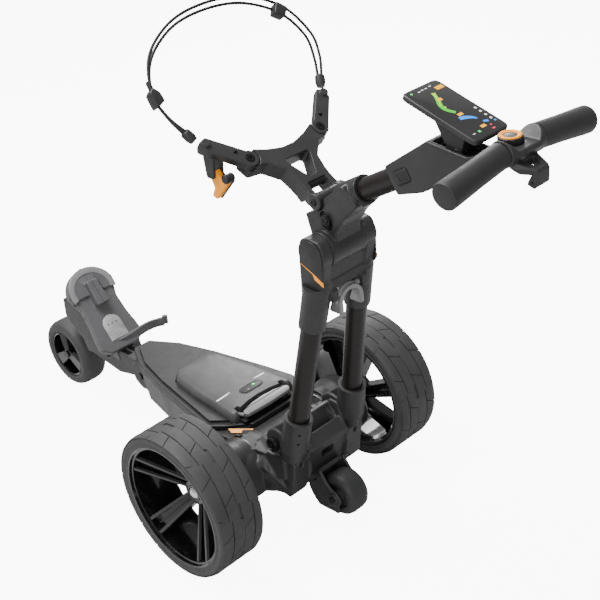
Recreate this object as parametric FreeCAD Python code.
import FreeCAD, Part
import math
import os

# Electric golf trolley, in millimetres. +X is the trolley's right, +Y is forward, +Z is up.
# The origin is on the ground, midway between the two drive wheels and straight below their axle.

V = FreeCAD.Vector
X, Y, Z = V(1, 0, 0), V(0, 1, 0), V(0, 0, 1)
GAP = 0.05                       # running clearance on a radius, and the gap between touching parts

# Drive wheels
OVERALL_WIDTH = 600.0
WHEEL_R = 153.0
TYRE_WIDTH = 102.0
RIM_R = 130.0
RIM_WALL = 6.0
SPOKE_PAIRS = 5
HUB_R = 30.0
HUB_FACE = 240.0                 # |x| of the hub's outer face, well inside the rim
AXLE_R = 7.0
BEARING_R = 13.0
RELEASE_R = 13.0

# Front wheel and rear anti-tip wheel
WHEELBASE = 756.0
FRONT_R = 85.0
FRONT_WIDTH = 64.0
FRONT_RIM_R = 58.0
FRONT_AXLE_R = 5.0
TIP_Y, TIP_Z = -169.0, 93.0
TIP_R = 45.0
TIP_WIDTH = 50.0
TIP_AXLE_R = 4.0

# Chassis
FLOOR_Z = 104.0
SPLIT_Z = 188.0
ROOF_Z = 196.0                   # the roof behind the deck
DECK_Z = 206.0
WALL = 3.0
HOUSING_R = 57.0
HOUSING_FROM, HOUSING_TO = 96.0, 190.0   # |x| of a gearbox housing's two ends
MOTOR_R, GEARBOX_R = 30.0, 44.0
TIP_BOSS_TO = 38.0                       # |x| of the anti-tip fork's outer bosses
TRAY_REAR = (56.0, 18.0)         # the deck's rear edge ends here, and a chamfer runs on
TRAY_CORNER = (98.0, 58.0)       # to here

# Battery
BATTERY_FLOOR_Z = 150.0
BATTERY_SEAM_Z = 206.0
BATTERY_TOP_Z = 228.0
BATTERY_BUTTON = (8.0, 92.0)     # its centre, (x, y)
BATTERY_HINGE = (58.0, 215.0)    # the carrying handle's axis, (y, z)
BATTERY_STUB_R = 3.0

# Legs: they lean back and towards each other, and fold about the lower pivot
LOWER_PIVOT = V(0, -94, 232)
UPPER_PIVOT = V(0, -216, 656)
LEVER_PIVOT = V(0, -227, 569)
LEG_FOOT = V(73, -141, 296)      # tube centre at the socket's rim, right-hand leg
LEG_HEAD = V(58.5, -190, 503)    # tube centre at the upper housing's rim
LEG_R = 20.0
SOCKET_R = 27.0
YOKE_CAP_R = 31.0
SOCKET_FROM, SOCKET_TO = 54.5, 96.5      # |x| of a leg socket's two faces
LOWER_PIN_R, UPPER_PIN_R, LEVER_PIN_R = 6.0, 8.0, 3.0

# Stem and handle: the stem rises towards the user from a point above the upper pivot
STEM_START = V(0, -216, 731)
STEM_ANGLE = math.radians(28.4)
STEM_R = 19.5
STEM_FROM, STEM_TO = 28.0, 253.0
CLAMP_TO = 90.0
HEAD_BOLT = (-226.0, 704.0)      # its axis, (y, z)
HEAD_BOLT_R = 4.0
NECK_FROM, NECK_BORE_TO = 183.0, 296.0
HUB = V(0, -604, 916)
CROSS_R = 21.0                    # the hub between the grips
HUB_FLAT_Z = 920.0                # the hub's flat top, under the dial
GRIP_FROM, GRIP_TO = 42.0, 166.0
GRIP_DROOP = 16.0
DIAL_RING_R, DIAL_BUTTON_R, DIAL_STEM_R = 16.5, 9.0, 4.5
DIAL = V(0, -590, 927)            # the underside of the dial's coloured ring

# Bag bracket: a Y lying in a plane that rises forward from its hinge
ARM_HINGE = V(0, -205, 741)
ARM_ORIGIN = V(0, -182, 763)
ARM_ANGLE = math.radians(39.0)
ARM_THICK = 34.0
ARM_BOLT = (84.0, 89.0)
ARM_TIP = (143.0, 150.0)
ARM_PIN_R = 4.0
CRADLE_BOLT_R, CRADLE_HEAD_R = 4.0, 7.5
HOOK_PIVOT = V(-130, -69, 799)
HOOK_PIN_R = 2.5
CORD_R = 2.75
CORD_ANGLE = math.radians(57.0)

# Front arm and bag platform
FRONT_HINGE = V(0, 430, 150)
FRONT_PIN_R = 5.0
PLATFORM_ORIGIN = V(0, 575, 236)
PLATFORM_ANGLE = math.radians(50.7)

# Display
DISPLAY_CENTRE = V(0, -491, 949)
DISPLAY_ANGLE = math.radians(18.8)
DISPLAY_WIDTH, DISPLAY_LENGTH, DISPLAY_THICK = 80.0, 147.0, 9.0
DISPLAY_PIVOT = V(0, -506, 893)
DISPLAY_PIN_R = 3.0


def unit(vector):
    """The same direction with a length of one."""
    return V(vector).normalize()


def rod(start, axis, length, radius):
    """A solid cylinder from a point along an axis."""
    return Part.makeCylinder(radius, length, start, axis)


def cross_rod(x0, x1, y, z, radius):
    """A solid cylinder along X."""
    return rod(V(x0, y, z), X, x1 - x0, radius)


def block(x0, x1, y0, y1, z0, z1):
    """A box from its limits."""
    return Part.makeBox(x1 - x0, y1 - y0, z1 - z0, V(x0, y0, z0))


def mirror(shape):
    """The same shape on the other side of the trolley."""
    return shape.mirror(V(0, 0, 0), X)


def both(shape):
    """A right-hand shape and its left-hand twin."""
    return [shape, mirror(shape)]


def fuse(*shapes):
    """One solid from several that meet."""
    return shapes[0].multiFuse(list(shapes[1:])).removeSplitter()


def rounded_wire(points, radius):
    """A closed outline through flat 3-D points, its corners arcs of one radius or of one each."""
    count = len(points)
    radii = radius if isinstance(radius, list) else [radius] * count
    edges = []
    ends = []
    for i, corner in enumerate(points):
        before = unit(points[i - 1] - corner)
        after = unit(points[(i + 1) % count] - corner)
        half = before.getAngle(after) / 2
        back = radii[i] / math.tan(half)
        bisector = unit(before + after)
        centre = corner + bisector * (radii[i] / math.sin(half))
        start = corner + before * back
        end = corner + after * back
        edges.append(Part.Arc(start, centre - bisector * radii[i], end).toShape())
        ends.append((start, end))
    sides = []
    for i in range(count):
        sides.append(Part.makeLine(ends[i][1], ends[(i + 1) % count][0]))
    loop = [edge for pair in zip(edges, sides) for edge in pair]
    return Part.Wire(loop)


def soften(solid, direction, radius):
    """Round the rim edges of the two flat ends that face along a direction."""
    edges = []
    for face in solid.Faces:
        if not isinstance(face.Surface, Part.Plane):
            continue
        if abs(face.normalAt(0, 0).dot(direction)) > 0.999:
            edges += face.Edges
    return solid.makeFillet(radius, edges)


def plate(points, thickness, corner, edge=0.0):
    """A flat plate from a rounded outline, moved by the thickness vector, with its rims rounded."""
    solid = Part.Face(rounded_wire(points, corner)).extrude(thickness)
    return soften(solid, unit(thickness), edge) if edge else solid


def side_plate(points, x0, x1, corner, edge=0.0):
    """A plate seen from the side: its points are (y, z) and it spans x0 to x1."""
    return plate([V(x0, y, z) for y, z in points], X * (x1 - x0), corner, edge)


def floor_plate(points, z0, z1, corner, edge=0.0):
    """A plate seen from above: its points are (x, y) and it spans z0 to z1."""
    return plate([V(x, y, z0) for x, y in points], Z * (z1 - z0), corner, edge)


def symmetric(half):
    """A closed outline from its right half, given from one end to the other."""
    return half + [(-x, y) for x, y in reversed(half)]


class Plane:
    """A sloping plane: u runs along X, v runs up the slope and w is its upward normal."""

    def __init__(self, origin, angle):
        self.origin = origin
        self.v = V(0, math.cos(angle), math.sin(angle))
        self.w = V(0, -math.sin(angle), math.cos(angle))

    def at(self, u, v, w=0.0):
        return self.origin + X * u + self.v * v + self.w * w

    def plate(self, points, w0, w1, corner, edge=0.0):
        return plate([self.at(u, v, w0) for u, v in points], self.w * (w1 - w0), corner, edge)

    def peg(self, u, v, w0, w1, radius):
        return rod(self.at(u, v, w0), self.w, w1 - w0, radius)


def spun(profile, corner):
    """A ring about the X axis through the drive axle, from (x, radius) points."""
    face = Part.Face(rounded_wire([V(x, 0, r) for x, r in profile], corner))
    return face.revolve(V(0, 0, 0), X, 360)


def at_axle(shape, y=0.0, z=WHEEL_R):
    """A shape made about the X axis through the origin, moved to an axle."""
    return shape.translated(V(0, y, z))


# ---------------------------------------------------------------- drive wheels

def tyre():
    """A wide hollow tyre with nearly square shoulders, open towards the rim."""
    outer = OVERALL_WIDTH / 2
    inner = outer - TYRE_WIDTH
    profile = [(inner, RIM_R), (outer, RIM_R), (outer, WHEEL_R - 5), (outer - 8, WHEEL_R),
               (inner + 8, WHEEL_R), (inner, WHEEL_R - 5)]
    hollow = [(inner + 8, RIM_R - 5), (outer - 8, RIM_R - 5), (outer - 8, WHEEL_R - 9),
              (inner + 8, WHEEL_R - 9)]
    return at_axle(spun(profile, 1.5).cut(spun(hollow, 2.0)))


def twin_spoke(angle):
    """Two parallel bars from the hub to the rim, dished outwards towards the rim."""
    bars = []
    profile = [(HUB_FACE - 20, HUB_R - 4), (HUB_FACE - 2, HUB_R - 4), (290, RIM_R - RIM_WALL + 1),
               (268, RIM_R - RIM_WALL + 1)]
    for offset in (-16.0, 8.0):
        bar = Part.Face(Part.makePolygon([V(x, offset, r) for x, r in profile + profile[:1]]))
        bars.append(bar.extrude(Y * 8))
    pair = fuse(*bars, block(272, 280, -8.5, 8.5, 60, RIM_R - RIM_WALL + 1))
    pair.rotate(V(0, 0, 0), X, angle)
    return pair


def rim():
    """A deep barrel, twin spokes and a hub with a keyed bore for the axle."""
    lip = OVERALL_WIDTH / 2 - 3
    barrel = spun([(201, RIM_R - RIM_WALL), (lip, RIM_R - RIM_WALL), (lip, RIM_R - GAP),
                   (201, RIM_R - GAP)], 1.0)
    hub = cross_rod(203, HUB_FACE, 0, 0, HUB_R)
    spokes = [twin_spoke(i * 360.0 / SPOKE_PAIRS) for i in range(SPOKE_PAIRS)]
    body = fuse(barrel, hub, *spokes)
    body = body.cut(cross_rod(200, 270, 0, 0, AXLE_R + GAP))
    body = body.cut(cross_rod(HUB_FACE - 14, 270, 0, 0, RELEASE_R + GAP))
    return at_axle(body)


def axle():
    """The half shaft, from the gearbox to the hub."""
    return cross_rod(132, HUB_FACE - 17, 0, WHEEL_R, AXLE_R)


def release_button():
    """The domed button in the middle of the hub that frees the wheel."""
    stub = cross_rod(HUB_FACE - 10, HUB_FACE - 2, 0, 0, RELEASE_R)
    ball = Part.makeSphere(20.0, V(HUB_FACE - 13, 0, 0))
    dome = ball.common(cross_rod(HUB_FACE - 2, HUB_FACE + 8, 0, 0, RELEASE_R))
    return at_axle(fuse(stub, dome))


# ---------------------------------------------------------------- chassis

def hull(inset, levels):
    """The boat-shaped body, pulled in on every side by the inset, through outlines at set heights."""
    low = [(74, -104), (88, -60), (88, 60), (80, 170), (68, 290), (44, 396), (16, 448)]
    high = [(96, -108), (106, -60), (120, 50), (108, 160), (82, 300), (58, 392), (22, 462)]
    wires = []
    for height in levels:
        share = (height - FLOOR_Z) / (DECK_Z - FLOOR_Z)
        half = []
        for (x0, y0), (x1, y1) in zip(low, high):
            x = x0 + (x1 - x0) * share
            y = y0 + (y1 - y0) * share
            half.append((x - inset, y - inset * math.copysign(1, y)))
        wires.append(rounded_wire([V(x, y, height) for x, y in symmetric(half)], 10.0))
    return Part.makeLoft(wires, True, True)


def front_slot():
    """The room under the nose that the front arm needs to swing under the chassis."""
    return side_plate([(300, 60), (480, 60), (480, 200), (418, 200), (395, 176), (300, 118)],
                      -25, 25, 3)


def socket_clearance():
    """The room that the two leg sockets need on their pivots."""
    near, far = SOCKET_FROM - 0.5, SOCKET_TO + 0.5
    knuckle = cross_rod(near, far, LOWER_PIVOT.y, LOWER_PIVOT.z, 32.0)
    behind = side_plate([(-94, 232), (-94, 330), (-190, 330), (-190, 146), (-149.6, 182)], near, far, 0.5)
    return both(fuse(knuckle, behind))


def rear_columns():
    """Two posts at the rear corners that carry the lower pivots, one pair of ears each."""
    post = side_plate([(-138, 200), (-90, 214), (-70, 190), (-70, 110), (-112, 106), (-122, 118)],
                      55, 96, 4)
    inner = side_plate([(-137, 200), (-119, 256), (-96, 256), (-66, 190), (-66, 150), (-118, 150)],
                       46, 53.5, 5)
    outer = side_plate([(-116, 240), (-94, 256), (-72, 240), (-66, 196), (-66, 150), (-112, 150)],
                       97.5, 103, 7)
    return both(post) + both(inner) + both(outer)


def recess_wall():
    """The sloping wall between the sockets, with a raised bar at its foot."""
    wall = side_plate([(-136, 200), (-122, 230), (-108, 210), (-100, 120), (-112, 110), (-118, 124)],
                      -46.5, 46.5, 3)
    bar = side_plate([(-124, 126), (-124, 142), (-108, 142), (-104, 120)], -60, 60, 4)
    return fuse(wall, bar)


def housing_envelope(inset):
    """The round housing on the axle outside each gearbox, pulled in by the inset."""
    shoulder = HOUSING_R - 6 - inset
    near, far = HOUSING_FROM + inset, HOUSING_TO - inset
    skin = spun([(near, 2.0), (far, 2.0), (far, HOUSING_R - 18), (168, HOUSING_R - inset),
                 (146, HOUSING_R - inset), (124, shoulder), (near, shoulder)], 0.4)
    return at_axle(fuse(skin, cross_rod(near, far, 0, 0, 3.0)))


def gearbox_room():
    """The hole in the side wall that the motor and gearbox pass through."""
    return cross_rod(70, HOUSING_FROM + 1, 0, WHEEL_R, HOUSING_R - 10)


def hinge_cheeks():
    """The two cheeks at the nose that hold the front arm's hinge pin."""
    cheek = side_plate([(388, 122), (388, 200), (448, 186), (462, 160), (452, 132), (430, 118)],
                       26, 38, 8)
    return both(cheek)


def pins_in_chassis():
    """Everything that passes through the chassis walls, to be cut from them."""
    lower = cross_rod(44, 112, LOWER_PIVOT.y, LOWER_PIVOT.z, LOWER_PIN_R + GAP)
    front = cross_rod(-50, 50, FRONT_HINGE.y, FRONT_HINGE.z, FRONT_PIN_R + GAP)
    return both(lower) + [front]


def screw_places():
    """The eight screws that hold the deck to the body: (x, y) on the underside of the rim."""
    right = [(101, 76), (95, 130), (85, 190), (60, 330)]
    return right + [(-x, y) for x, y in right]


def chassis_screws():
    """Countersunk screws driven up through the lower shell's bosses into the deck."""
    screws = []
    for x, y in screw_places():
        shank = rod(V(x, y, 176), Z, 20, 2.0)
        head = rod(V(x, y, 172), Z, 4.5, 4.0)
        screws.append(fuse(shank, head))
    return Part.makeCompound(screws)


def lower_shell():
    """The body pan: walls, floor, rear columns, nose cheeks and screw bosses."""
    skin = hull(0.0, (FLOOR_Z, 150.0, ROOF_Z)).cut(hull(WALL, (FLOOR_Z + WALL, 150.0, SPLIT_Z - 4)))
    skin = skin.cut(block(-130, 130, 90, 480, SPLIT_Z, ROOF_Z + 1))
    skin = skin.cut(hull(WALL + 2, (170, ROOF_Z + 1)).common(block(-130, 130, 90, 480, 172, ROOF_Z + 2)))
    skin = skin.cut(block(-52, 52, -130, -100, 180, ROOF_Z + 4))
    bosses = [rod(V(x, y, 168), Z, SPLIT_Z - 168, 8.0) for x, y in screw_places()]
    bosses = [boss.common(hull(0.5, (FLOOR_Z, 150.0, SPLIT_Z))) for boss in bosses]
    body = fuse(skin, *rear_columns(), recess_wall(), *hinge_cheeks(), *bosses)
    for cut in [front_slot(), *socket_clearance(), *pins_in_chassis()]:
        body = body.cut(cut)
    for cut in both(housing_envelope(-GAP)) + both(gearbox_room()):
        body = body.cut(cut)
    body = body.cut(tray(GAP, SPLIT_Z - GAP, DECK_Z + 20))
    body = body.cut(floor_plate(battery_outline(5.0 + GAP), 140, 220, 8))
    for x, y in screw_places():
        body = body.cut(rod(V(x, y, 160), Z, 40, 2.0 + GAP)).cut(rod(V(x, y, 160), Z, 16.6, 4.0 + GAP))
    slots = both(block(72, 78, -150, -120, 176, 190))
    port = block(-14, 14, -140, -114, 166, 180)
    return body.cut(slots[0]).cut(slots[1]).cut(port)


def tray(grow, low, high):
    """The raised deck seen from above, with chamfered rear corners, grown on every side."""
    half = [TRAY_REAR, TRAY_CORNER, (119, 84), (108, 160), (82, 300), (58, 392), (22, 460)]
    outline = [(x + grow, y + grow * math.copysign(1, y - 100)) for x, y in half]
    return floor_plate(symmetric(outline), low, high, 8)


def battery_outline(grow):
    """The battery seen from above, grown on every side."""
    half = [(84, 46), (74, 170), (58, 262), (40, 280)]
    out = [(x + grow, y + (grow if y > 100 else -grow)) for x, y in half]
    return symmetric(out)


def upper_shell():
    """The deck: a raised rim, a deep well for the battery and a shallow tray for its handle."""
    deck = tray(0.0, SPLIT_Z, DECK_Z)
    deck = soften(deck, Z, 1.5)
    lip_top = tray(-9.0, DECK_Z - 1, DECK_Z + 5)
    well = floor_plate(battery_outline(5.0), 146, SPLIT_Z + 2, 8)
    deck = fuse(deck, lip_top, well)
    deck = deck.cut(floor_plate(battery_outline(2.0), 149, 230, 8))
    deck = deck.cut(floor_plate([(70, 24), (70, 60), (-70, 60), (-70, 24)], 200, 230, 6))
    for cut in [front_slot(), *pins_in_chassis(), *hinge_cheeks(), *both(housing_envelope(-GAP))]:
        deck = deck.cut(cut)
    for x, y in screw_places():
        deck = deck.cut(rod(V(x, y, 170), Z, 27, 2.0 + GAP))
    return deck


def gearbox_housing():
    """The round cover over the gearbox, with a bearing seat round the axle."""
    body = housing_envelope(0.0).cut(housing_envelope(4.0))
    body = fuse(body, cross_rod(176, 188, 0, WHEEL_R, BEARING_R + 5))
    body = body.cut(cross_rod(180, 186.5, 0, WHEEL_R, BEARING_R + GAP))
    body = body.cut(cross_rod(170, 195, 0, WHEEL_R, AXLE_R + 1.0))
    return body.cut(cross_rod(90, 104, 0, WHEEL_R, HOUSING_R - 4))


def bearing():
    """A ball bearing drawn as its outer size with the shaft's bore."""
    return cross_rod(180.5, 186, 0, WHEEL_R, BEARING_R).cut(cross_rod(180, 187, 0, WHEEL_R, AXLE_R + GAP))


def geared_motor():
    """A motor can with its planetary gearbox, which turns one half shaft."""
    can = cross_rod(22, 98, 0, WHEEL_R, MOTOR_R)
    gearbox = cross_rod(98, 146, 0, WHEEL_R, GEARBOX_R)
    tail = cross_rod(14, 22, 0, WHEEL_R, 9.0)
    return fuse(can, gearbox, tail).cut(cross_rod(130, 150, 0, WHEEL_R, AXLE_R + GAP))


def control_board():
    """The speed controller: a board under the battery well with a heat sink and capacitors."""
    board = block(-55, 55, 90, 230, 118, 120)
    sink = block(-50, 50, 100, 150, 120, 134)
    caps = [rod(V(x, 190, 120), Z, 20, 7.0) for x in (-30, -10, 10, 30)]
    return fuse(board, sink, *caps)


def wiring_loom():
    """The battery connector and the cables from it to the board and to both motors."""
    connector = block(-16, 16, 64, 84, 128, 145.5)
    trunk = block(-5, 5, 84, 92, 122, 130)
    runs = both(fuse(rod(V(10, 64.5, 134), -Y, 32, 2.5), rod(V(5, 32, 134), X, 45, 4.0)))
    return Part.makeCompound([fuse(connector, trunk, *runs)])


def lower_pivot_pins():
    """A pivot pin for each leg socket, with a round gripped cap outside."""
    pin = cross_rod(46.5, 104, LOWER_PIVOT.y, LOWER_PIVOT.z, LOWER_PIN_R)
    cap = cross_rod(103.2, 113, LOWER_PIVOT.y, LOWER_PIVOT.z, 14.0)
    for i in range(12):
        angle = math.radians(i * 30)
        y = LOWER_PIVOT.y + 15 * math.cos(angle)
        z = LOWER_PIVOT.z + 15 * math.sin(angle)
        cap = cap.cut(cross_rod(103, 114, y, z, 2.2))
    pin = fuse(pin, cap).cut(cross_rod(109, 114, LOWER_PIVOT.y, LOWER_PIVOT.z, 8.0))
    return Part.makeCompound(both(pin))


def front_hinge_pin():
    """The pin across the nose that the front arm turns on."""
    return fuse(cross_rod(-38, 38, FRONT_HINGE.y, FRONT_HINGE.z, FRONT_PIN_R),
                cross_rod(38, 41, FRONT_HINGE.y, FRONT_HINGE.z, 8.0),
                cross_rod(-41, -38, FRONT_HINGE.y, FRONT_HINGE.z, 8.0))


def side_badges():
    """A thin plain strip on each chamfered rear corner of the deck."""
    start = V(*TRAY_REAR, DECK_Z - 9)
    end = V(*TRAY_CORNER, DECK_Z - 9)
    along = unit(end - start)
    outwards = V(along.y, -along.x, 0)
    first = start + along * 9 + outwards * GAP
    last = start + along * 49 + outwards * GAP
    strip = Part.Face(Part.makePolygon([first, last, last + Z * 7, first + Z * 7, first]))
    return Part.makeCompound(both(strip.extrude(outwards * 1.2)))


# ---------------------------------------------------------------- anti-tip wheel

def anti_tip_fork():
    """Two bent side plates and a bridge that reach back under the rear of the chassis."""
    outline = [(-99, 104), (-113, 72), (-126, 58), (-181, 60), (-181, 80), (-160, 110), (-134, 150),
               (-126, 120)]
    cheek = side_plate(outline, 29, 34, 5)
    bridge = side_plate([(-113, 72), (-99, 104), (-110, 103.5), (-121, 76)], -33, 33, 1.5)
    boss = cross_rod(33, TIP_BOSS_TO, TIP_Y, TIP_Z, 11.0)
    web = cross_rod(29, 34, TIP_Y, TIP_Z, 14.0)
    body = fuse(bridge, *both(cheek), *both(boss), *both(web))
    body = body.cut(cross_rod(-40, 40, TIP_Y, TIP_Z, TIP_AXLE_R + GAP))
    return body.cut(lower_shell_space())


def lower_shell_space():
    """The closed outside of the chassis pan at the rear, which the fork is trimmed against."""
    return fuse(hull(-0.4, (FLOOR_Z - GAP, 150.0, SPLIT_Z)), recess_wall(), *rear_columns())


def anti_tip_axle():
    """The bolt through the fork and the small wheel."""
    head = cross_rod(TIP_BOSS_TO + GAP / 2, TIP_BOSS_TO + 3, TIP_Y, TIP_Z, 7.0)
    reach = TIP_BOSS_TO + 0.1
    return fuse(cross_rod(-reach, reach, TIP_Y, TIP_Z, TIP_AXLE_R), *both(head))


def anti_tip_wheel():
    """A small soft roller with rounded shoulders and dished faces."""
    half = TIP_WIDTH / 2
    roller = spun([(-half, 8), (half, 8), (half, TIP_R), (-half, TIP_R)], [1.0, 1.0, 12.0, 12.0])
    dish = cross_rod(half - 8, half, 0, 0, 27.0)
    roller = roller.cut(dish).cut(mirror(dish))
    roller = fuse(roller, cross_rod(-half, half, 0, 0, 12.0))
    bore = cross_rod(-half - 1, half + 1, 0, 0, TIP_AXLE_R + GAP)
    return at_axle(roller.cut(bore), TIP_Y, TIP_Z)


# ---------------------------------------------------------------- front wheel, arm and platform

def front_tyre():
    """A round-shouldered hollow tyre, open towards the rim."""
    half = FRONT_WIDTH / 2
    profile = [(-half, FRONT_RIM_R), (half, FRONT_RIM_R), (half, FRONT_R), (-half, FRONT_R)]
    hollow = [(8 - half, FRONT_RIM_R - 5), (half - 8, FRONT_RIM_R - 5), (half - 8, FRONT_R - 9),
              (8 - half, FRONT_R - 9)]
    body = spun(profile, [1.0, 1.0, 20.0, 20.0]).cut(spun(hollow, 6.0))
    return at_axle(body, WHEELBASE, FRONT_R)


def front_hub():
    """A thin rim on three broad spokes."""
    half = FRONT_WIDTH / 2 - 2
    barrel = spun([(-half, 53), (half, 53), (half, FRONT_RIM_R - GAP), (-half, FRONT_RIM_R - GAP)], 1.0)
    spokes = []
    for i in range(3):
        spoke = block(-24, -14, -14, 14, 10, 54)
        spoke.rotate(V(0, 0, 0), X, 120.0 * i + 205.0)
        spokes.append(spoke)
    hub = cross_rod(-26, half - 2, 0, 0, 15.0)
    body = fuse(barrel, hub, *spokes).cut(cross_rod(-40, 40, 0, 0, FRONT_AXLE_R + GAP))
    return at_axle(body, WHEELBASE, FRONT_R)


def front_axle():
    """The stub axle that the front wheel runs on, held in the one-sided fork."""
    return fuse(cross_rod(-28, 50, WHEELBASE, FRONT_R, FRONT_AXLE_R),
                cross_rod(-31, -26 - GAP, WHEELBASE, FRONT_R, 9.0))


def front_arm():
    """The beam from the hinge to a crown over the wheel, with a fork leg on the right."""
    knuckle = cross_rod(-24, 24, FRONT_HINGE.y, FRONT_HINGE.z, 17.0)
    beam = side_plate([(420, 150), (428, 168), (560, 172), (652, 172), (652, 130), (540, 112),
                       (440, 134)], -22, 22, 5)
    crown = side_plate([(556, 150), (572, 186), (650, 262), (706, 262), (710, 214), (676, 184),
                        (652, 172), (640, 140)], -34, 34, 5)
    leg = side_plate([(540, 118), (560, 182), (640, 236), (704, 236), (730, 170), (772, 96),
                      (766, 72), (742, 68), (640, 122)], 34, 47, 6)
    bridge = side_plate([(548, 126), (566, 178), (650, 178), (650, 132)], 20, 36, 4)
    body = fuse(knuckle, beam, crown, leg, bridge)
    body = body.cut(at_axle(spun([(-34.5, 0.5), (33.9, 0.5), (33.9, 89), (-34.5, 89)], 0.4),
                            WHEELBASE, FRONT_R))
    body = body.cut(cross_rod(-60, 60, WHEELBASE, FRONT_R, FRONT_AXLE_R + GAP))
    body = body.cut(cross_rod(-60, 60, FRONT_HINGE.y, FRONT_HINGE.z, FRONT_PIN_R + GAP))
    return body.cut(fuse(*platform_solids()))


def platform_plane():
    return Plane(PLATFORM_ORIGIN, PLATFORM_ANGLE)


def platform_solids():
    """The solid shapes that make up the bag platform, before its holes."""
    plane = platform_plane()
    half = [(38, -78), (60, -62), (58, -34), (52, 0), (50, 42), (64, 84), (62, 112), (34, 134)]
    back = plane.plate(symmetric(half), -16, 0, 9, 4)
    rim = plane.plate(symmetric([(44, 66), (64, 84), (62, 112), (34, 134)]), -1, 5, 9, 2)
    key = plane.plate([(-17, 34), (17, 34), (14, 96), (-14, 96)], -1, 22, 5, 3)
    return [back, rim, key, lip(), lip_bracket()]


def lip():
    """The curved band that stops the bag's base from sliding off, with a squared right-hand end."""
    low, high, thick = 170.0, 192.0, 7.0
    outer = [V(-24, 556, low), V(30, 540, low), V(80, 538, low), V(108, 520, low)]
    inner = [point + V(1.0, -thick, 0) for point in outer]
    front = Part.BSplineCurve()
    front.interpolate(outer)
    rear = Part.BSplineCurve()
    rear.interpolate(inner)
    edges = [front.toShape(), Part.makeLine(outer[-1], inner[-1]),
             rear.toShape(), Part.makeLine(inner[0], outer[0])]
    band = Part.Face(Part.Wire(Part.__sortEdges__(edges))).extrude(Z * (high - low))
    return band.rotated(V(-24, 556, low), Y, -6.0)


def lip_bracket():
    """The foot that carries the lip from the platform."""
    return side_plate([(524, 150), (540, 196), (556, 196), (552, 150)], -24, 44, 4)


def bag_platform():
    """The bag's rest: a waisted plate with a raised rim, a centre key and a retaining lip."""
    plane = platform_plane()
    body = fuse(*platform_solids())
    body = body.cut(plane.plate(panel_outline(0.4), -1.2, 4, 8))
    return body


def panel_outline(grow):
    return [(-24 - grow, -52 - grow), (24 + grow, -52 - grow), (24 + grow, -14), (12, 8 + grow),
            (-12, 8 + grow), (-24 - grow, -14)]


def platform_panel():
    """An arch-shaped grip panel set in the platform, with three small holes."""
    plane = platform_plane()
    panel = plane.plate(panel_outline(0.0), -1.1, 1.2, 8)
    for u in (-11, 0, 11):
        panel = panel.cut(plane.peg(u, -14, -2, 3, 2.2))
    return panel


# ---------------------------------------------------------------- battery

def battery_case():
    """The lower half of the battery: a tray that holds the cells."""
    outside = floor_plate(battery_outline(0.0), BATTERY_FLOOR_Z, BATTERY_SEAM_Z - GAP, 8, 2)
    inside = floor_plate(battery_outline(-3.0), BATTERY_FLOOR_Z + 3, BATTERY_SEAM_Z + 1, 6)
    return outside.cut(inside)


def battery_cover():
    """The lid, with a slot across its rear edge for the carrying handle."""
    outside = floor_plate(battery_outline(0.0), BATTERY_SEAM_Z, BATTERY_TOP_Z, 8)
    outside = soften(outside, Z, 1.0)
    inside = floor_plate(battery_outline(-3.0), BATTERY_SEAM_Z - 1, BATTERY_TOP_Z - 3, 6)
    lid = outside.cut(inside)
    lid = lid.cut(side_plate([(30, 200), (30, 240), (66, 240), (66, 214), (52, 200)], -70, 70, 1))
    wall = side_plate([(66, 206.5), (66, BATTERY_TOP_Z - 1), (69, BATTERY_TOP_Z - 1), (69, 206.5)],
                      -72, 72, 0.5)
    lugs = both(side_plate([(52, 206.2), (52, 222), (68, 222), (68, 206.2)], 66, 71, 3))
    lid = fuse(lid, wall, *lugs)
    lid = lid.cut(cross_rod(-80, 80, *BATTERY_HINGE, BATTERY_STUB_R + GAP))
    return lid.cut(button_pocket())


def button_pocket():
    """The hole in the lid that the power button sits in."""
    return rod(V(*BATTERY_BUTTON, 215), Z, 20, 9.0 + GAP)


def battery_button():
    """The power button in the lid."""
    cap = rod(V(*BATTERY_BUTTON, 222), Z, BATTERY_TOP_Z + 1.5 - 222, 9.0)
    return fuse(cap, rod(V(*BATTERY_BUTTON, 213), Z, 9.5, 4.0))


def battery_handle():
    """A carrying handle that lies along the battery's rear edge and swings up on two stubs."""
    bar = side_plate([(29, 212), (29, 224), (40, 226), (44, 214)], -64, 64, 3)
    arms = both(side_plate([(30, 211), (30, 221), (62, 221), (64, 211)], 58, 65, 3))
    stubs = both(cross_rod(64, 70.5, *BATTERY_HINGE, BATTERY_STUB_R))
    return fuse(bar, *arms, *stubs)


def battery_cells():
    """The cell pack inside the case."""
    half = [(74, 56), (66, 160), (52, 250), (36, 268)]
    return floor_plate(symmetric(half), 154, 204, 6)


# ---------------------------------------------------------------- legs

def leg_axis():
    """The direction of the right-hand leg, upwards."""
    return unit(LEG_HEAD - LEG_FOOT)


def along_leg(height):
    """The point on the right-hand leg's centre line at a height."""
    share = (height - LEG_FOOT.z) / (LEG_HEAD.z - LEG_FOOT.z)
    return LEG_FOOT + (LEG_HEAD - LEG_FOOT) * share


def leg_rod(low, high, radius):
    """A cylinder on the leg's centre line between two heights."""
    start, end = along_leg(low), along_leg(high)
    return rod(start, leg_axis(), (end - start).Length, radius)


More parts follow.
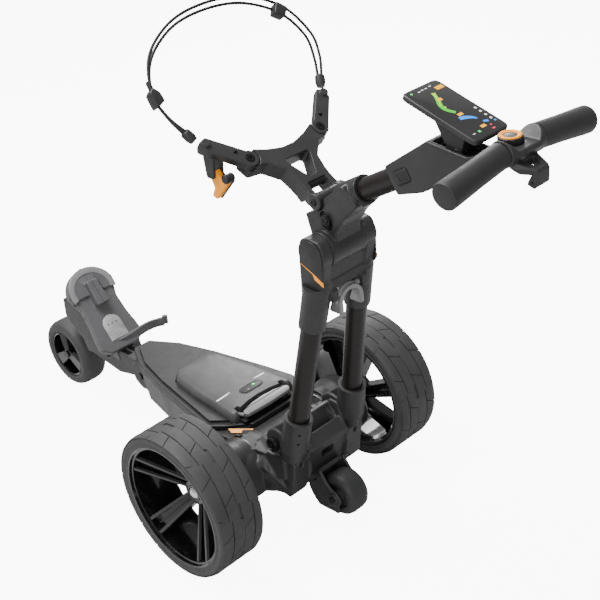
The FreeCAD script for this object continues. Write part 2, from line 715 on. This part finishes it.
def leg_socket():
    """The casting that turns on the lower pivot and holds the foot of the leg tube."""
    knuckle = cross_rod(SOCKET_FROM, SOCKET_TO, LOWER_PIVOT.y, LOWER_PIVOT.z, 30.0)
    cheek = side_plate([(-167, 290), (-115, 302), (-68, 252), (-72, 224), (-94, 233), (-146, 191)],
                       SOCKET_FROM, SOCKET_TO, 6)
    body = fuse(knuckle, cheek, leg_rod(258, 296, SOCKET_R))
    body = body.cut(leg_rod(240, 300, LEG_R + GAP))
    body = body.cut(leg_rod(296, 330, 60))
    body = body.cut(cross_rod(50, 100, LOWER_PIVOT.y, LOWER_PIVOT.z, LOWER_PIN_R + GAP))
    for height in (252, 274):
        point = along_leg(height)
        body = body.cut(rod(V(point.x, -180, height), Y, 35, 2.4))
    return body


def leg_tube():
    """An aluminium tube."""
    return leg_rod(240.5, 541.5, LEG_R).cut(leg_rod(230, 560, LEG_R - 2.5))


def upper_housing():
    """The right-hand half of the upper yoke: a sleeve over the tube, and the pivot plate above."""
    sleeve = leg_rod(503, 604, LEG_R + 4.5)
    top = [(-216 + 31, 652), (-216 + 24, 684), (-216 - 24, 686), (-216 - 31, 656), (-226, 560),
           (-180, 556)]
    pivot_plate = side_plate(top, 43, 67, 14, 3)
    body = fuse(sleeve, pivot_plate, cross_rod(43, 67, UPPER_PIVOT.y, UPPER_PIVOT.z, YOKE_CAP_R))
    body = body.cut(leg_rod(490, 542, LEG_R + GAP))
    return body.cut(side_plate(cap_outline(0.2), 65, 80, 20))


def cap_outline(grow):
    """The outline of the cap in each pivot plate's face: a rounded top and a rounded foot."""
    y, z = UPPER_PIVOT.y, UPPER_PIVOT.z
    return [(y + 26 + grow, z + 27 + grow), (y - 28 - grow, z + 27 + grow),
            (y - 24 - grow, z - 64 - grow), (y + 30 + grow, z - 64 - grow)]


def upper_yoke():
    """One moulding that joins both legs under the pivot and carries the fold lever's lugs."""
    crossbar = side_plate([(-234, 582), (-234, 604), (-212, 604), (-212, 582)], -46, 46, 4)
    lugs = both(side_plate([(-238, 560), (-238, 582), (-230, 590), (-216, 590), (-216, 560)],
                           30.5, 44, 3))
    body = fuse(crossbar, *both(upper_housing()), *lugs)
    body = body.cut(cross_rod(-37, 37, LEVER_PIVOT.y, LEVER_PIVOT.z, LEVER_PIN_R + GAP))
    return body.cut(cross_rod(-63, 63, UPPER_PIVOT.y, UPPER_PIVOT.z, UPPER_PIN_R + GAP))


def pivot_caps():
    """The two plain caps that cover the ends of the upper pivot."""
    return Part.makeCompound(both(side_plate(cap_outline(0.0), 65.1, 68.5, 20, 1)))


def upper_pivot_pin():
    """The pin through the yoke and the head's barrel."""
    return cross_rod(-62.5, 62.5, UPPER_PIVOT.y, UPPER_PIVOT.z, UPPER_PIN_R)


def fold_lever():
    """An arched finger lever under the crossbar that frees the fold."""
    ring = rod(V(0, -238, 547), Y, 22, 30.0).cut(rod(V(0, -250, 547), Y, 40, 22.0))
    ring = ring.common(block(-31, 31, -250, -215, 547, 580))
    sides = both(side_plate([(-238, 530), (-238, 549), (-216, 549), (-208, 530)], 22, 30, 3))
    stubs = both(cross_rod(24, 36.5, LEVER_PIVOT.y, LEVER_PIVOT.z, LEVER_PIN_R))
    hubs = both(cross_rod(10, 30, LEVER_PIVOT.y, LEVER_PIVOT.z, 6.0))
    return fuse(ring, *sides, *hubs, *stubs)


# ---------------------------------------------------------------- head and stem

def stem_axis():
    """The direction of the stem, up towards the user."""
    return V(0, -math.cos(STEM_ANGLE), math.sin(STEM_ANGLE))


def stem_rod(start, end, radius):
    """A cylinder on the stem's centre line between two distances from its start."""
    return rod(STEM_START + stem_axis() * start, stem_axis(), end - start, radius)


def head_casting():
    """The casting on the upper pivot: barrel, body, stem clamp and the bag bracket's knuckle."""
    barrel = cross_rod(-42.5, 42.5, UPPER_PIVOT.y, UPPER_PIVOT.z, 33.0)
    outline = [(-187, 660), (-172, 716), (-192, 730), (-224, 752), (-268, 784), (-300, 752),
               (-268, 722), (-246, 692), (-243, 660)]
    web = side_plate(outline, -31, 31, 6, 4)
    clamp = stem_rod(30, CLAMP_TO, 26.0)
    knuckle = cross_rod(-20, 20, ARM_HINGE.y, ARM_HINGE.z, 13.0)
    body = fuse(barrel, web, clamp)
    body = body.cut(cross_rod(-45, 45, ARM_HINGE.y, ARM_HINGE.z, 17.0))
    body = body.cut(side_plate([(-205, 724), (-150, 700), (-150, 820), (-222, 820), (-222, 741)],
                               -45, 45, 1))
    foot = side_plate([(-214, 722), (-196, 722), (-194, 744), (-216, 744)], -20, 20, 2)
    body = fuse(body, knuckle, foot)
    body = body.cut(stem_rod(STEM_FROM - 1, STEM_TO, STEM_R + GAP))
    body = body.cut(cross_rod(-30, 30, ARM_HINGE.y, ARM_HINGE.z, ARM_PIN_R + GAP))
    body = body.cut(cross_rod(-50, 50, UPPER_PIVOT.y, UPPER_PIVOT.z, UPPER_PIN_R + GAP))
    recess = fuse(cross_rod(25, 40, *HEAD_BOLT, 13.0), cross_rod(25, 40, -222, 716, 11.0))
    for side in both(recess):
        body = body.cut(side)
    body = body.cut(cross_rod(-26, 26, *HEAD_BOLT, HEAD_BOLT_R + GAP))
    return body


def head_bolts():
    """The cross bolt and washers in the head's two side recesses."""
    shank = cross_rod(-26, 26, *HEAD_BOLT, HEAD_BOLT_R)
    ends = both(fuse(cross_rod(25.1, 27.5, *HEAD_BOLT, 11.0), cross_rod(27, 32, *HEAD_BOLT, 6.5)))
    socket = cross_rod(29, 33, *HEAD_BOLT, 3.2)
    bolt = fuse(shank, *ends)
    return bolt.cut(socket).cut(mirror(socket))


def stem_tube():
    """The tube between the head and the handle."""
    return stem_rod(STEM_FROM, STEM_TO, STEM_R).cut(stem_rod(0, 400, STEM_R - 2.5))


def bag_arm_pin():
    """The pin that the bag bracket hinges on."""
    return cross_rod(-37, 37, ARM_HINGE.y, ARM_HINGE.z, ARM_PIN_R)


# ---------------------------------------------------------------- handle

def neck_outline():
    """The side view of the handle's neck, from the stem up to the cross grips."""
    return [(-365, 840), (-389, 796), (-440, 812), (-520, 858), (-578, 892), (-612, 892),
            (-628, 914), (-616, 932), (-582, 932), (-568, 903), (-530, 892), (-456, 902),
            (-418, 876)]


def grip_line(shift):
    """The start and end of the right-hand grip's drooping centre line."""
    start = V(GRIP_FROM - shift, HUB.y, HUB.z)
    end = V(GRIP_TO, HUB.y, HUB.z - GRIP_DROOP)
    return start, end


def grip_core():
    """The bar inside one grip."""
    start, end = grip_line(20.0)
    return rod(start, unit(end - start), (end - start).Length - 14, 9.0)


def grip():
    """A round rubber grip that swells slightly towards its end."""
    start, end = grip_line(0.0)
    axis = unit(end - start)
    length = (end - start).Length
    body = Part.makeCone(18.5, 21.5, length, start + axis * GAP, axis)
    body = body.makeFillet(3.0, [e for e in body.Edges if e.Length > 100])
    return body.cut(rod(start - axis * 30, axis, length + 30 - 13, 9.0 + GAP))


def handle_housing():
    """The neck and hub that slide on the stem and carry the grips, dial and display."""
    neck = side_plate(neck_outline(), -29, 29, 5, 4)
    hub = cross_rod(-GRIP_FROM + 1, GRIP_FROM - 1, HUB.y, HUB.z, CROSS_R)
    body = fuse(neck, hub, *both(grip_core()))
    for side in both(grip()):
        body = body.cut(side)
    pocket = side_plate([(-468, 930), (-462, 890), (-488, 876), (-520, 876), (-540, 896), (-540, 930)],
                        -22, 22, 3)
    body = body.cut(pocket)
    body = fuse(body, knuckle_floor())
    body = body.cut(cross_rod(-26, 26, DISPLAY_PIVOT.y, DISPLAY_PIVOT.z, DISPLAY_PIN_R + GAP))
    body = body.cut(stem_rod(150, NECK_BORE_TO, STEM_R + 0.06))
    body = body.cut(hub_flat())
    body = body.cut(rod(dial_point(-10), Z, 30, 20.0))
    body = body.cut(rod(dial_point(-22), Z, 30, DIAL_STEM_R + GAP))
    body = body.cut(height_button_shape(0.3, 3.0))
    return body


def hub_flat():
    """What is planed off the top of the hub to seat the dial, sloping up to the full round."""
    profile = [(-24, HUB_FLAT_Z), (24, HUB_FLAT_Z), (40, 938), (40, 970), (-40, 970), (-40, 938)]
    return plate([V(x, -650, z) for x, z in profile], Y * 90, 2)


def dial_point(rise):
    """A point on the dial's axis, by its height over the underside of the ring."""
    return DIAL + Z * rise


def knuckle_floor():
    """A floor under the display's knuckle, which closes the pocket over the stem."""
    return side_plate([(-470, 868), (-480, 880), (-536, 884), (-536, 862)], -24, 24, 1)


def height_button_shape(grow, travel):
    """The release button in the neck's left side, or with growth the pocket for it."""
    centre = STEM_START + stem_axis() * 213
    along = stem_axis() * (15 + grow)
    across = V(0, math.sin(STEM_ANGLE), math.cos(STEM_ANGLE)) * (11 + grow)
    corners = [centre + along + across, centre - along + across, centre - along - across,
               centre + along - across]
    face = [V(-30.5 if grow == 0 else -40.0, p.y, p.z) for p in corners]
    depth = 5.0 if grow == 0 else 14.5 + travel
    return plate(face, X * depth, 4)


def height_button():
    """The ribbed button that lets the handle slide on the stem."""
    return height_button_shape(0.0, 0.0)


def accessory_bracket():
    """A triangular loop behind the hub for clipping accessories."""
    outer = [(-598, 904), (-626, 908), (-641, 892), (-628, 866), (-614, 864), (-588, 888)]
    inner = [(-606, 898), (-622, 900), (-630, 891), (-621, 876)]
    loop = side_plate(outer, -9, 9, 3)
    loop = loop.cut(side_plate(inner, -12, 12, 2))
    return loop.cut(handle_space())


def handle_space():
    """The outside of the hub, which the bracket butts against."""
    neck = side_plate(neck_outline(), -29, 29, 5)
    return fuse(neck, cross_rod(-GRIP_FROM + 1, GRIP_FROM - 1, HUB.y, HUB.z, CROSS_R + GAP))


def dial_knob():
    """The speed dial: a faceted ring on a stem."""
    base = rod(dial_point(-9.5), Z, 11.5, 19.0)
    for i in range(10):
        angle = math.radians(i * 36)
        notch = rod(dial_point(-12) + V(math.cos(angle), math.sin(angle), 0) * 22.5, Z, 20, 5.0)
        base = base.cut(notch)
    knob = fuse(base, rod(dial_point(-21), Z, 12, DIAL_STEM_R))
    knob = knob.cut(rod(dial_point(-2), Z, 10, DIAL_BUTTON_R + GAP))
    return knob.cut(ring_blank(GAP, 0.0))


def ring_blank(grow, rise):
    """The coloured ring, or with growth the groove for it."""
    outside = rod(dial_point(rise), Z, 6 if grow else 4, DIAL_RING_R + grow)
    return outside.cut(rod(dial_point(-8), Z, 20, 10.5 + GAP - grow))


def dial_ring():
    """The coloured ring set in the dial's top."""
    return ring_blank(0.0, GAP)


def dial_button():
    """The round stop and go button in the middle of the dial."""
    return rod(dial_point(0.2), Z, 3.4, DIAL_BUTTON_R)


# ---------------------------------------------------------------- display

def display_plane():
    return Plane(DISPLAY_CENTRE, DISPLAY_ANGLE)


def display_rectangle(inset):
    half_width = DISPLAY_WIDTH / 2 - inset
    half_length = DISPLAY_LENGTH / 2 - inset
    return [(-half_width, -half_length), (half_width, -half_length), (half_width, half_length),
            (-half_width, half_length)]


def display_housing():
    """The handset's body, open at the top for its glass."""
    body = display_plane().plate(display_rectangle(0), -DISPLAY_THICK, 0, 9, 2)
    return body.cut(display_plane().plate(display_rectangle(2.5), -1.5, 5, 7))


def display_glass():
    """The handset's screen."""
    return display_plane().plate(display_rectangle(2.5 + GAP), -1.45, 0.1, 7)


def display_cradle():
    """The tilting cradle under the handset."""
    foot = cross_rod(-19.5, 19.5, DISPLAY_PIVOT.y, DISPLAY_PIVOT.z, 9.0)
    neck = side_plate([(-528, 936), (-452, 960), (-484, 900), (-498, 886), (-514, 888)], -19.5, 19.5, 3)
    bed = display_plane().plate([(-30, -46), (30, -46), (30, 44), (-30, 44)],
                                -DISPLAY_THICK - 7, -DISPLAY_THICK - GAP, 8)
    stubs = both(cross_rod(18, 26, DISPLAY_PIVOT.y, DISPLAY_PIVOT.z, DISPLAY_PIN_R))
    body = fuse(foot, neck, bed, *stubs)
    return body.cut(display_plane().plate(display_rectangle(-20), -DISPLAY_THICK - GAP, 40, 5))


# ---------------------------------------------------------------- bag bracket

def arm_plane():
    return Plane(ARM_ORIGIN, ARM_ANGLE)


def bag_yoke():
    """The Y-shaped bracket: a forked foot on the hinge, a window, and a half-lap at each end."""
    plane = arm_plane()
    half = [(37, -30), (31, 4), (37, 42), (62, 68), (92, 72), (98, 98), (76, 106), (44, 92), (14, 84)]
    body = plane.plate(symmetric(half), -ARM_THICK, 0, 5)
    window = plane.plate([(-8, 14), (8, 14), (30, 60), (-30, 60)], -50, 10, 5)
    knuckle_slot = plane.plate([(-21, -60), (21, -60), (21, 4), (-21, 4)], -60, 10, 2)
    body = body.cut(window).cut(knuckle_slot)
    feet = both(cross_rod(21, 37, ARM_HINGE.y, ARM_HINGE.z, 14.0))
    body = fuse(body, *feet)
    body = body.cut(cross_rod(-50, 50, ARM_HINGE.y, ARM_HINGE.z, ARM_PIN_R + GAP))
    below = side_plate([(-230, 690), (-230, 734), (-214, 728), (-196, 728), (-180, 736), (-150, 720),
                        (-150, 690)], -50, 50, 0.5)
    body = body.cut(below)
    for sign in (-1, 1):
        u, v = sign * ARM_BOLT[0], ARM_BOLT[1]
        body = body.cut(plane.peg(u, v, -16, 10, 17.5))
        body = body.cut(plane.plate([(u - 20 * sign, v + 20), (u + 40 * sign, v + 20),
                                     (u + 40 * sign, v - 20), (u + 6 * sign, v - 16)], -16, 10, 1))
        body = body.cut(plane.peg(u, v, -60, 10, CRADLE_BOLT_R + GAP))
    return body


def cradle_arm():
    """The right-hand arm: a round foot on its bolt and a tapering finger that holds the cords."""
    plane = arm_plane()
    u0, v0 = ARM_BOLT
    u1, v1 = ARM_TIP
    foot = plane.peg(u0, v0, -15.9, 0, 16.0)
    finger = plane.plate([(u0 - 4, v0 + 15), (u0 + 12, v0 - 10), (u1 + 4, v1 - 16), (u1 + 8, v1 + 2),
                          (u1 - 10, v1 + 8)], -15.9, 0, 4, 2)
    tip = plane.peg(u1 - 2, v1 - 4, -22, 4, 8.0)
    body = fuse(foot, finger, tip)
    body = body.cut(plane.peg(u0, v0, -20, 5, CRADLE_BOLT_R + GAP))
    return body.cut(plane.peg(u0, v0, -5, 5, CRADLE_HEAD_R + GAP))


def cradle_bolts():
    """The bolt that each arm turns on."""
    plane = arm_plane()
    bolts = []
    for sign in (-1, 1):
        u, v = sign * ARM_BOLT[0], ARM_BOLT[1]
        shank = plane.peg(u, v, -32, -4.9, CRADLE_BOLT_R)
        head = plane.peg(u, v, -4.9, 0.5, CRADLE_HEAD_R)
        bolts.append(fuse(shank, head).cut(plane.peg(u, v, -2, 2, 3.0)))
    return Part.makeCompound(bolts)


def cord_plane():
    return Plane(V(0, -60, 849), CORD_ANGLE)


def cord_path(reach, rise, offset):
    """The centre line of one cord, from near the left arm's tip over the top to the right."""
    half = [(-156, 24), (-0.97 * reach, 66), (-reach, 112), (-0.83 * reach, 0.77 * rise),
            (-0.45 * reach, 0.95 * rise)]
    points = half + [(0, rise)] + [(-u, v) for u, v in reversed(half)]
    curve = Part.BSplineCurve()
    curve.interpolate([cord_plane().at(u, v, offset) for u, v in points])
    return curve


def cord(reach, rise, offset, radius):
    """A round cord swept along its centre line."""
    path = cord_path(reach, rise, offset)
    start = path.value(path.FirstParameter)
    tangent = path.tangent(path.FirstParameter)[0]
    ring = Part.Wire([Part.makeCircle(radius, start, tangent)])
    return Part.Wire([path.toShape()]).makePipeShell([ring], True, False)


def cords(radius):
    """The two elastic cords, one behind the other."""
    return [cord(184.0, 224.0, 5.0, radius), cord(178.0, 216.0, -5.0, radius)]


def bag_cords():
    return Part.makeCompound(cords(CORD_R))


def cord_fittings():
    """A clip on the left of the ring and a spacer block on the right that hold the cords together."""
    plane = cord_plane()
    clip = plane.plate([(-192, 88), (-168, 88), (-170, 112), (-192, 116)], -10, 10, 4)
    spacer = plane.plate([(128, 168), (146, 152), (160, 168), (142, 184)], -10, 10, 3)
    blocks = [clip, spacer]
    for path in cords(CORD_R + GAP):
        blocks = [piece.cut(path) for piece in blocks]
    return Part.makeCompound(blocks)


def strap_hook():
    """The boomerang-shaped hook that hangs under the left arm, with its round pad and pivot stubs."""
    points = [(-60, 797), (-78, 807), (-88, 794), (-103, 802), (-109, 792), (-72, 752), (-60, 756),
              (-69, 773)]
    body = side_plate(points, -136, -124, 2.5)
    pad = cross_rod(-139, -121, -104, 797, 8.0)
    stubs = cross_rod(-141.5, -118.5, HOOK_PIVOT.y, HOOK_PIVOT.z, HOOK_PIN_R)
    return fuse(body, pad, stubs)


def left_cradle_arm():
    """The left-hand arm, with two lugs underneath that carry the strap hook."""
    arm = mirror(cradle_arm())
    for x0, x1 in ((-142, -137), (-123, -118)):
        lug = side_plate([(-84, 830), (-56, 850), (-60, 792), (-79, 792)], x0, x1, 5)
        arm = fuse(arm, lug)
    return arm.cut(cross_rod(-150, -110, HOOK_PIVOT.y, HOOK_PIVOT.z, HOOK_PIN_R + GAP))


PARTS = {
    "left_tyre": lambda: mirror(tyre()),
    "right_tyre": tyre,
    "left_rim": lambda: mirror(rim()),
    "right_rim": rim,
    "left_axle": lambda: mirror(axle()),
    "right_axle": axle,
    "left_release_button": lambda: mirror(release_button()),
    "right_release_button": release_button,
    "chassis_lower_shell": lower_shell,
    "chassis_upper_shell": upper_shell,
    "gearbox_housings": lambda: Part.makeCompound(both(gearbox_housing())),
    "geared_motors": lambda: Part.makeCompound(both(geared_motor())),
    "axle_bearings": lambda: Part.makeCompound(both(bearing())),
    "control_board": control_board,
    "wiring_loom": wiring_loom,
    "lower_pivot_pins": lower_pivot_pins,
    "front_hinge_pin": front_hinge_pin,
    "side_badges": side_badges,
    "chassis_screws": chassis_screws,
    "anti_tip_fork": anti_tip_fork,
    "anti_tip_axle": anti_tip_axle,
    "anti_tip_wheel": anti_tip_wheel,
    "front_tyre": front_tyre,
    "front_hub": front_hub,
    "front_axle": front_axle,
    "front_arm": front_arm,
    "bag_platform": bag_platform,
    "platform_panel": platform_panel,
    "battery_case": battery_case,
    "battery_cover": battery_cover,
    "battery_button": battery_button,
    "battery_handle": battery_handle,
    "battery_cells": battery_cells,
    "leg_sockets": lambda: Part.makeCompound(both(leg_socket())),
    "leg_tubes": lambda: Part.makeCompound(both(leg_tube())),
    "upper_yoke": upper_yoke,
    "pivot_caps": pivot_caps,
    "upper_pivot_pin": upper_pivot_pin,
    "fold_lever": fold_lever,
    "head_casting": head_casting,
    "head_bolts": head_bolts,
    "stem_tube": stem_tube,
    "bag_arm_pin": bag_arm_pin,
    "handle_housing": handle_housing,
    "grips": lambda: Part.makeCompound(both(grip())),
    "height_button": height_button,
    "accessory_bracket": accessory_bracket,
    "dial_knob": dial_knob,
    "dial_ring": dial_ring,
    "dial_button": dial_button,
    "display_housing": display_housing,
    "display_glass": display_glass,
    "display_cradle": display_cradle,
    "bag_yoke": bag_yoke,
    "left_cradle_arm": left_cradle_arm,
    "right_cradle_arm": cradle_arm,
    "cradle_bolts": cradle_bolts,
    "bag_cords": bag_cords,
    "cord_fittings": cord_fittings,
    "strap_hook": strap_hook,
}


def main():
    os.makedirs("parts", exist_ok=True)
    for name, make in PARTS.items():
        shape = make()
        if not shape.isValid():
            print("not valid:", name)
        print(name, len(shape.Solids), "solids")
        shape.exportStep(f"parts/{name}.step")


main()
